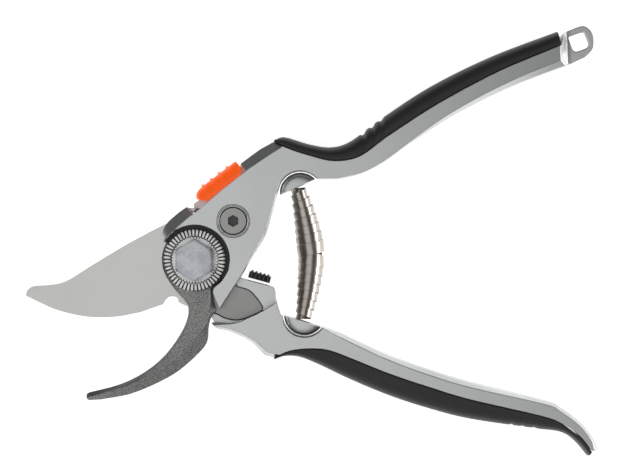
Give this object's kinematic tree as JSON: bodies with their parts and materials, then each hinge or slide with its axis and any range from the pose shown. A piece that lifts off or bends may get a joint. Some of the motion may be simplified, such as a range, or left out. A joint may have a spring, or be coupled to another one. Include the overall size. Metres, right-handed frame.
{
  "type": "pruning shears",
  "caption": "Bypass pruning shears with crossing cast handles, a hooked counter-blade, a telescoping barrel spring, a thumb lock and a hanging eye.",
  "frame": {"origin": "where the pivot axis meets the plane that the back of the shears rests on", "axes": "+Z along the pivot axis from the nut to the bolt head, +X from the pivot between the handles, +Y across the handles towards the handle with the hanging eye"},
  "size_m": [0.2061, 0.1552, 0.0196],
  "materials": {
    "cast_aluminium": "satin, fine blasted",
    "soft_grip": "matte",
    "blade_steel": "fine ground",
    "hammered_coat": "hammered, semi-gloss",
    "zinc": "bright zinc",
    "bush_bronze": "turned",
    "black_plastic": "matte",
    "orange_plastic": "semi-gloss",
    "spring_steel": "polished strip"
  },
  "bodies": {
    "upper_half": {"upper_handle": "cast_aluminium", "upper_grip": "soft_grip", "counter_blade": "hammered_coat", "counter_blade_screw": "zinc", "counter_blade_nut": "zinc", "pivot_bolt": "zinc", "serrated_ring": "zinc", "spacer_washer": "black_plastic", "pivot_bush": "bush_bronze", "rear_washer": "zinc", "pivot_nut": "zinc", "upper_spring_cup": "cast_aluminium", "lock_leaf_spring": "spring_steel"},
    "lock": {"lock_slider": "orange_plastic", "lock_catch": "blade_steel"},
    "lower_half": {"lower_handle": "cast_aluminium", "lower_grip": "soft_grip", "cutting_blade": "blade_steel", "tang_screw_1": "zinc", "tang_screw_2": "zinc", "bumper": "soft_grip", "lower_spring_cup": "cast_aluminium"},
    "spring": {"upper_volute": "spring_steel", "lower_volute": "spring_steel"}
  },
  "joints": [
    {"name": "pivot", "type": "hinge", "parent": "upper_half", "child": "lower_half", "pos_m": [0, 0, 0], "axis": [0, 0, 1], "range_deg": [0, 41], "stiffness_Nm_per_rad": 1.2, "springref_deg": -14.32, "deforming": ["upper_volute", "lower_volute"]},
    {"name": "lock_slide", "type": "slide", "parent": "upper_half", "child": "lock", "axis": [-0.7944, -0.6074, 0], "range_m": [0, 0.004]},
    {"name": "spring_swing", "type": "hinge", "parent": "upper_half", "child": "spring", "pos_m": [0.03685, 0.0262, 0.008], "axis": [0, 0, 1], "range_deg": [0, 20.5]}
  ],
  "couplings": [
    {"joint": "spring_swing", "follows": "pivot", "ratio": 0.5}
  ]
}
